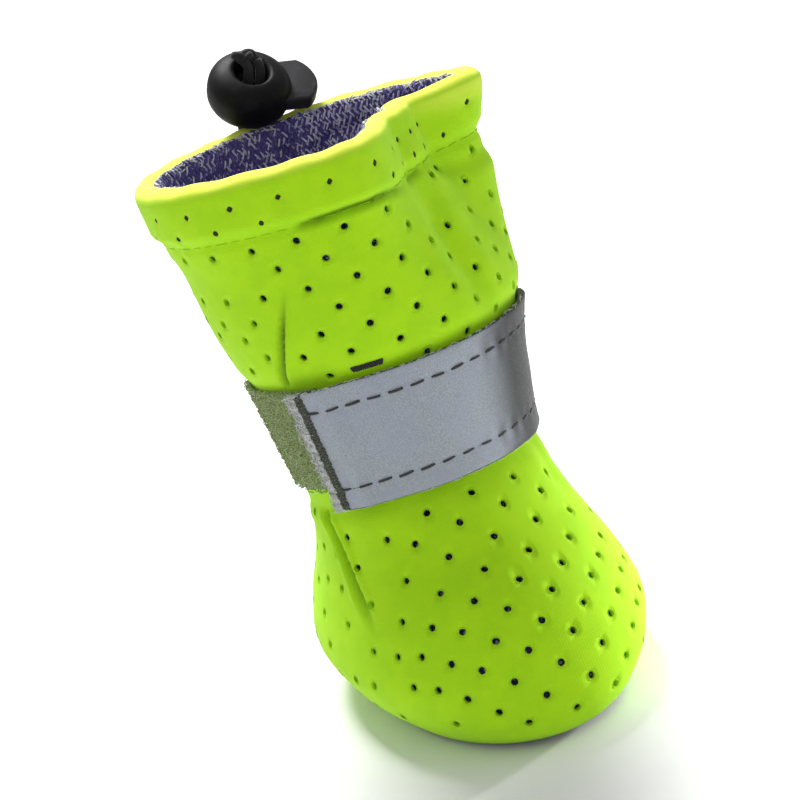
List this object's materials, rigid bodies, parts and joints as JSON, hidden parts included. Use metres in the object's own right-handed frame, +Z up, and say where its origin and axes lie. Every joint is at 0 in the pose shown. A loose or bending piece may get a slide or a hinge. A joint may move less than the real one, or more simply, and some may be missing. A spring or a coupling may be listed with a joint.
{
  "type": "dog boot",
  "caption": "Soft dog boot: a perforated stretch upper with a drawcord hem and cord lock, a round toe, a flat sole and a reflective hook and loop ankle strap.",
  "frame": {"origin": "on the underside of the sole, under the middle of the foot", "axes": "+Z up, the toe towards -Y, +X to the right of the picture's boot as seen from its front"},
  "size_m": [0.0584, 0.0809, 0.0973],
  "materials": {
    "sole rubber": "matt",
    "lining": "knitted",
    "lime fabric": "matt, perforated",
    "reflective tape": "fine glass bead, retroreflective",
    "loop tape": "fuzzy",
    "elastic cord": "braided",
    "black plastic": "matt"
  },
  "bodies": {
    "boot": {"sole": "sole rubber", "insole": "lining", "upper": "lime fabric", "strap": "reflective tape", "loop_tape": "loop tape", "drawcord": "elastic cord", "drawcord_knot": "elastic cord", "cord_lock_body": "black plastic"},
    "plunger": {"cord_lock_plunger": "black plastic"}
  },
  "joints": [
    {"name": "plunger_press", "type": "slide", "parent": "boot", "child": "plunger", "axis": [-0.9724, 0.0731, 0.2215], "range_m": [0, 0.002], "stiffness_N_per_m": 800, "springref_m": -0.002}
  ]
}
